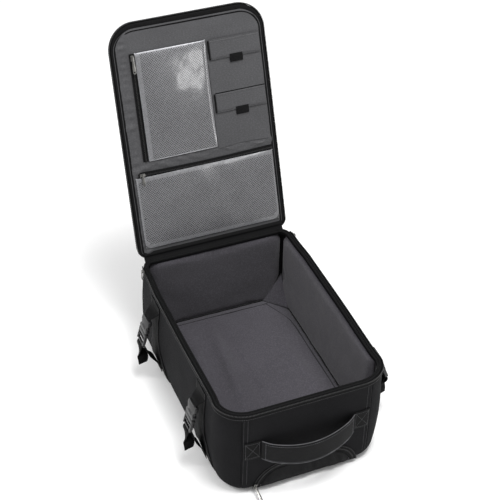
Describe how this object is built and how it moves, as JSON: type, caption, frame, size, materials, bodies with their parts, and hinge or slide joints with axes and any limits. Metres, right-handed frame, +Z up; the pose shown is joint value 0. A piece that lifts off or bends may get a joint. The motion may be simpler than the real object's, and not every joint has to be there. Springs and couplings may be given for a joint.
{
  "type": "travel backpack",
  "caption": "Clamshell travel backpack lying on its back with its lid open, padded box body, mesh lid pockets, side compression straps and a grab handle.",
  "frame": {"origin": "centre of the back's flat underside, on the surface that the bag lies on", "axes": "+Z up, out of the opening; +Y towards the hinge at the bag's base; +X across, to the right seen from the handle"},
  "size_m": [0.4671, 0.7595, 0.7304],
  "materials": {
    "heather": "charcoal heather polyester, plain woven, matt",
    "dark_fabric": "smooth dark grey nylon, padded",
    "black_trim": "black ribbed polyester webbing, binding and zip tape",
    "lining": "charcoal brushed polyester lining over foam",
    "lid_lining": "mid grey polyester lining",
    "mesh": "light grey warp-knit mesh",
    "plastic": "black moulded acetal, fine spark finish",
    "nickel": "nickel-plated zinc, polished",
    "board": "black polyethylene foam board"
  },
  "bodies": {
    "tub": {"back_board": "board", "back_cover": "heather", "base_end_panel": "heather", "base_wall_pad": "lining", "buckle_female_left_far": "plastic", "buckle_female_left_near": "plastic", "buckle_female_right_far": "plastic", "buckle_female_right_near": "plastic", "floor_pad": "lining", "handle_patch_left": "black_trim", "handle_patch_right": "black_trim", "head_end_panel": "heather", "head_wall_pad": "lining", "hinge_tape": "black_trim", "left_side_panel": "heather", "left_wall_pad": "lining", "pocket_zip_tape_outer": "black_trim", "right_side_panel": "heather", "right_wall_pad": "lining", "rim_binding": "black_trim", "shoulder_strap_left": "dark_fabric", "shoulder_strap_right": "dark_fabric", "strap_lower_left_far": "black_trim", "strap_lower_left_near": "black_trim", "strap_lower_right_far": "black_trim", "strap_lower_right_near": "black_trim", "strap_upper_left_far": "black_trim", "strap_upper_left_near": "black_trim", "strap_upper_right_far": "black_trim", "strap_upper_right_near": "black_trim", "tub_zip_tape": "black_trim"},
    "lid": {"lid_shell": "heather", "lid_board": "board", "lid_lining": "lid_lining", "lid_binding": "black_trim", "lid_zip_tape": "black_trim", "mesh_panel_upper": "mesh", "mesh_panel_lower": "mesh", "mesh_zip_upper": "black_trim", "mesh_zip_lower": "black_trim", "organiser_panel": "lid_lining"},
    "handle": {"handle_sleeve": "dark_fabric"},
    "pocket_flap": {"pocket_flap": "dark_fabric", "pocket_zip_tape_inner": "black_trim"},
    "pocket_slider": {"pocket_slider": "nickel"},
    "pocket_pull": {"pocket_pull": "nickel"},
    "main_slider_left": {"main_slider_left": "nickel"},
    "main_pull_left": {"main_pull_left": "nickel"},
    "main_slider_right": {"main_slider_right": "nickel"},
    "main_pull_right": {"main_pull_right": "nickel"},
    "mesh_slider_upper": {"mesh_slider_upper": "nickel"},
    "mesh_pull_upper": {"mesh_pull_upper": "nickel"},
    "mesh_slider_lower": {"mesh_slider_lower": "nickel"},
    "mesh_pull_lower": {"mesh_pull_lower": "nickel"},
    "flap_upper": {"flap_upper": "lid_lining"},
    "flap_lower": {"flap_lower": "lid_lining"},
    "buckle_male_left_far": {"buckle_male_left_far": "plastic"},
    "buckle_male_left_near": {"buckle_male_left_near": "plastic"},
    "buckle_male_right_far": {"buckle_male_right_far": "plastic"},
    "buckle_male_right_near": {"buckle_male_right_near": "plastic"}
  },
  "joints": [
    {"name": "lid_hinge", "type": "hinge", "parent": "tub", "child": "lid", "pos_m": [0, 0.2645, 0.233], "axis": [-1, 0, 0], "range_deg": [-109.5, 70.5]},
    {"name": "handle_swing", "type": "hinge", "parent": "tub", "child": "handle", "pos_m": [0, -0.2665, 0.152], "axis": [-1, 0, 0], "range_deg": [0, 90]},
    {"name": "pocket_flap_hinge", "type": "hinge", "parent": "tub", "child": "pocket_flap", "pos_m": [0, -0.2644, 0.01], "axis": [1, 0, 0], "range_deg": [0, 75]},
    {"name": "pocket_zip", "type": "hinge", "parent": "tub", "child": "pocket_slider", "pos_m": [-0.052, -0.2662, 0], "axis": [0, 1, 0], "range_deg": [0, 74]},
    {"name": "pocket_pull_pivot", "type": "hinge", "parent": "pocket_slider", "child": "pocket_pull", "pos_m": [-0.11421, -0.2716, 0.01667], "axis": [-1, 0, 0], "range_deg": [-70, 95]},
    {"name": "main_zip_left", "type": "slide", "parent": "tub", "child": "main_slider_left", "axis": [0, -1, 0], "range_m": [0, 0.415]},
    {"name": "main_pull_pivot_left", "type": "hinge", "parent": "main_slider_left", "child": "main_pull_left", "pos_m": [-0.1856, 0.23, 0.229], "axis": [0, 1, 0], "range_deg": [0, 150]},
    {"name": "main_zip_right", "type": "slide", "parent": "tub", "child": "main_slider_right", "axis": [0, -1, 0], "range_m": [0, 0.415]},
    {"name": "main_pull_pivot_right", "type": "hinge", "parent": "main_slider_right", "child": "main_pull_right", "pos_m": [0.1856, 0.23, 0.229], "axis": [0, -1, 0], "range_deg": [0, 150]},
    {"name": "upper_pocket_zip", "type": "slide", "parent": "lid", "child": "mesh_slider_upper", "axis": [0, -0.3338, -0.9426], "range_m": [0, 0.215]},
    {"name": "upper_pull_pivot", "type": "hinge", "parent": "mesh_slider_upper", "child": "mesh_pull_upper", "pos_m": [-0.1315, 0.40874, 0.66249], "axis": [-1, 0, 0], "range_deg": [0, 150]},
    {"name": "lower_pocket_zip", "type": "slide", "parent": "lid", "child": "mesh_slider_lower", "axis": [1, 0, 0], "range_m": [0, 0.3]},
    {"name": "lower_pull_pivot", "type": "hinge", "parent": "mesh_slider_lower", "child": "mesh_pull_lower", "pos_m": [-0.145, 0.32212, 0.41787], "axis": [-1, 0, 0], "range_deg": [0, 150]},
    {"name": "upper_flap_hinge", "type": "hinge", "parent": "lid", "child": "flap_upper", "pos_m": [0, 0.41587, 0.66526], "axis": [-1, 0, 0], "range_deg": [0, 100]},
    {"name": "lower_flap_hinge", "type": "hinge", "parent": "lid", "child": "flap_lower", "pos_m": [0, 0.37615, 0.55309], "axis": [-1, 0, 0], "range_deg": [0, 100]},
    {"name": "buckle_release_left_far", "type": "slide", "parent": "tub", "child": "buckle_male_left_far", "axis": [-0.2707, 0, -0.9627], "range_m": [0, 0.026], "deforming": ["strap_lower_left_far"]},
    {"name": "buckle_release_left_near", "type": "slide", "parent": "tub", "child": "buckle_male_left_near", "axis": [-0.2351, 0, -0.972], "range_m": [0, 0.026], "deforming": ["strap_lower_left_near"]},
    {"name": "buckle_release_right_far", "type": "slide", "parent": "tub", "child": "buckle_male_right_far", "axis": [0.2707, 0, -0.9627], "range_m": [0, 0.026], "deforming": ["strap_lower_right_far"]},
    {"name": "buckle_release_right_near", "type": "slide", "parent": "tub", "child": "buckle_male_right_near", "axis": [0.355, 0, -0.9349], "range_m": [0, 0.026], "deforming": ["strap_lower_right_near"]}
  ]
}
